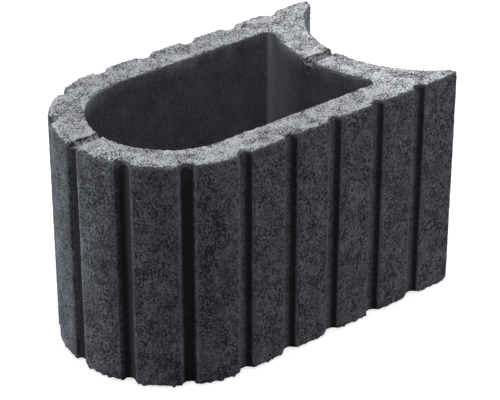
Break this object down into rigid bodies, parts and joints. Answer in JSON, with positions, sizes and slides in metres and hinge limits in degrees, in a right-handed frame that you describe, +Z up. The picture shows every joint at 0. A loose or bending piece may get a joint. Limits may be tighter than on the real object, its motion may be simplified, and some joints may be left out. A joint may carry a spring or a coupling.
{
  "type": "planter ring",
  "caption": "Ribbed concrete planter ring, round at the nose, with an open cavity for soil and a concave rear seat for the nose of the next ring. Stacks into planted walls.",
  "frame": {"origin": "middle of the bounding box, on the base", "axes": "+X from the round nose to the concave seat, +Y across the ribbed sides, +Z up"},
  "size_m": [0.3197, 0.192, 0.2],
  "materials": {
    "concrete": "rough"
  },
  "bodies": {
    "root": {"planter_ring": "concrete"}
  },
  "joints": []
}
